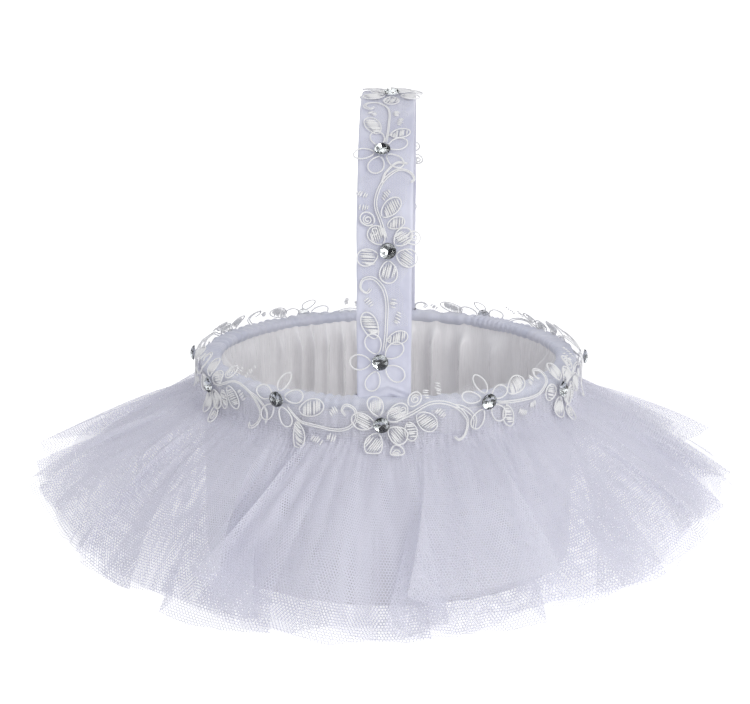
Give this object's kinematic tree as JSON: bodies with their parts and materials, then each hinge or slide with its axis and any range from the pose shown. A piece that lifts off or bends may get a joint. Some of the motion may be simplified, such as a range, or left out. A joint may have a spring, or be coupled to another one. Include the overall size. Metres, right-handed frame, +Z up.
{
  "type": "flower girl basket",
  "caption": "Round satin-covered basket with a fixed arch handle, gathered satin lining, layered tulle skirt, corded lace trim and rhinestones.",
  "frame": {"origin": "centre of the flat underside, on the surface that the basket stands on", "axes": "+Z up; the handle arches along Y, its front foot at -Y and its back foot at +Y, its flat faces square to Y at the feet"},
  "size_m": [0.3702, 0.3702, 0.2487],
  "materials": {
    "outer_satin": "satin",
    "rim_satin": "satin",
    "lining_satin": "satin",
    "handle_satin": "satin",
    "board": "matte",
    "wadding": "matte",
    "core_strip": "matte",
    "staple_wire": "satin",
    "tape": "matte",
    "tulle": "matte",
    "lace_net": "matte",
    "lace_cord": "satin",
    "rhinestone": "polished"
  },
  "bodies": {
    "root": {"base_cover": "outer_satin", "base_board": "board", "wall_board": "board", "body_cover": "outer_satin", "rim_binding": "rim_satin", "lining": "lining_satin", "floor_board": "board", "floor_foam": "wadding", "floor_cover": "lining_satin", "handle_core": "core_strip", "handle_sleeve": "handle_satin", "handle_staples": "staple_wire", "skirt_heading": "tape", "tulle_layer_01": "tulle", "tulle_layer_02": "tulle", "tulle_layer_03": "tulle", "tulle_layer_04": "tulle", "rim_lace": "lace_net", "rim_lace_flowers": "lace_cord", "handle_lace": "lace_net", "handle_lace_flowers": "lace_cord", "rim_rhinestone_01": "rhinestone", "rim_rhinestone_02": "rhinestone", "rim_rhinestone_03": "rhinestone", "rim_rhinestone_04": "rhinestone", "rim_rhinestone_05": "rhinestone", "rim_rhinestone_06": "rhinestone", "rim_rhinestone_07": "rhinestone", "rim_rhinestone_08": "rhinestone", "rim_rhinestone_09": "rhinestone", "rim_rhinestone_10": "rhinestone", "rim_rhinestone_11": "rhinestone", "rim_rhinestone_12": "rhinestone", "handle_rhinestone_01": "rhinestone", "handle_rhinestone_02": "rhinestone", "handle_rhinestone_03": "rhinestone", "handle_rhinestone_04": "rhinestone", "handle_rhinestone_05": "rhinestone", "handle_rhinestone_06": "rhinestone", "handle_rhinestone_07": "rhinestone"}
  },
  "joints": []
}
